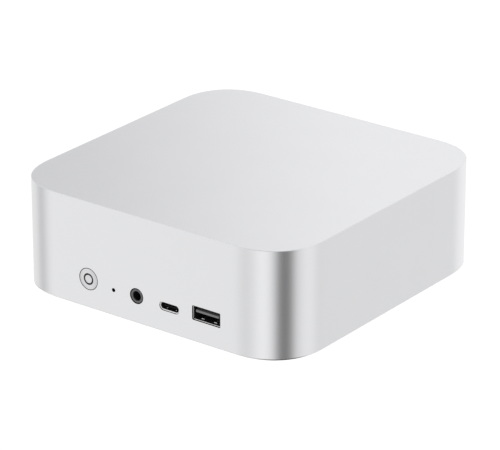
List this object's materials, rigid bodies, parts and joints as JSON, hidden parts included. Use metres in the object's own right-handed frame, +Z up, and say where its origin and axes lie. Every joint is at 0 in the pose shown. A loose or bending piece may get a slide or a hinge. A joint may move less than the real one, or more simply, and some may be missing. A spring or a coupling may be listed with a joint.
{
  "type": "mini pc",
  "caption": "Small square desktop computer: one-piece aluminium housing with round corners, sprung power button, front and rear sockets, blower cooler inside and a screwed base on rubber feet.",
  "frame": {"origin": "on the desk, under the middle of the housing", "axes": "+Z up, +X to the right seen from the front, front faces -Y"},
  "size_m": [0.135, 0.135, 0.0467],
  "materials": {
    "satin_aluminium": "bead-blasted, clear anodised",
    "raw_aluminium": "mill finish",
    "plated_steel": "nickel plated",
    "copper": null,
    "dark_plastic": "fine texture, black",
    "grey_plastic": "smooth, dark grey",
    "light_guide": "smoked light guide",
    "rubber": "matt black",
    "board": "solder mask over glass-fibre laminate",
    "chip": "moulded, dark",
    "filter_mesh": "woven mesh frame, dark"
  },
  "bodies": {
    "chassis": {"unibody_shell": "satin_aluminium", "rear_panel": "dark_plastic", "power_switch": "chip", "reset_switch": "chip", "front_audio_jack": "dark_plastic", "power_inlet": "dark_plastic", "power_inlet_pin": "plated_steel", "front_wide_socket_shell": "plated_steel", "front_wide_socket_tongue": "grey_plastic", "front_slim_socket_shell": "plated_steel", "front_slim_socket_tongue": "grey_plastic", "rear_slim_socket_shell": "plated_steel", "rear_slim_socket_tongue": "grey_plastic", "tapered_video_socket_shell": "plated_steel", "tapered_video_socket_tongue": "grey_plastic", "notched_video_socket_shell": "plated_steel", "notched_video_socket_tongue": "grey_plastic", "rear_stack_socket_shell": "plated_steel", "rear_stack_socket_tongues": "grey_plastic", "network_socket": "plated_steel", "network_contacts": "copper", "main_board": "board", "processor": "board", "cold_plate": "copper", "heat_pipe_left": "copper", "heat_pipe_right": "copper", "fin_stack": "raw_aluminium", "blower_housing": "dark_plastic", "blower_cover": "raw_aluminium", "blower_stator": "copper", "memory_socket_a": "chip", "memory_module_a": "board", "memory_socket_b": "chip", "memory_module_b": "board", "storage_socket": "chip", "storage_drive": "board", "storage_heat_spreader": "raw_aluminium", "wireless_module": "plated_steel", "backup_cell": "plated_steel", "antenna_left": "board", "antenna_right": "board", "dust_filter": "filter_mesh", "bottom_cover": "dark_plastic", "foot_front_left": "rubber", "cover_screw_front_left": "plated_steel", "foot_front_right": "rubber", "cover_screw_front_right": "plated_steel", "foot_rear_left": "rubber", "cover_screw_rear_left": "plated_steel", "foot_rear_right": "rubber", "cover_screw_rear_right": "plated_steel", "board_screw_front_left": "plated_steel", "board_screw_front_right": "plated_steel", "board_screw_rear_left": "plated_steel", "board_screw_rear_right": "plated_steel"},
    "power_button": {"power_button": "satin_aluminium", "power_light_ring": "light_guide", "power_switch_plunger": "grey_plastic"},
    "reset_plunger": {"reset_plunger": "grey_plastic"},
    "blower_rotor": {"blower_rotor": "dark_plastic"}
  },
  "joints": [
    {"name": "power_press", "type": "slide", "parent": "chassis", "child": "power_button", "axis": [0, 1, 0], "range_m": [0, 0.0005], "stiffness_N_per_m": 800, "springref_m": -0.001},
    {"name": "reset_press", "type": "slide", "parent": "chassis", "child": "reset_plunger", "axis": [0, 1, 0], "range_m": [0, 0.0003], "stiffness_N_per_m": 600, "springref_m": -0.001},
    {"name": "blower_spin", "type": "hinge", "parent": "chassis", "child": "blower_rotor", "pos_m": [-0.0015, -0.006, 0.0281], "axis": [0, 0, 1], "continuous": true}
  ]
}
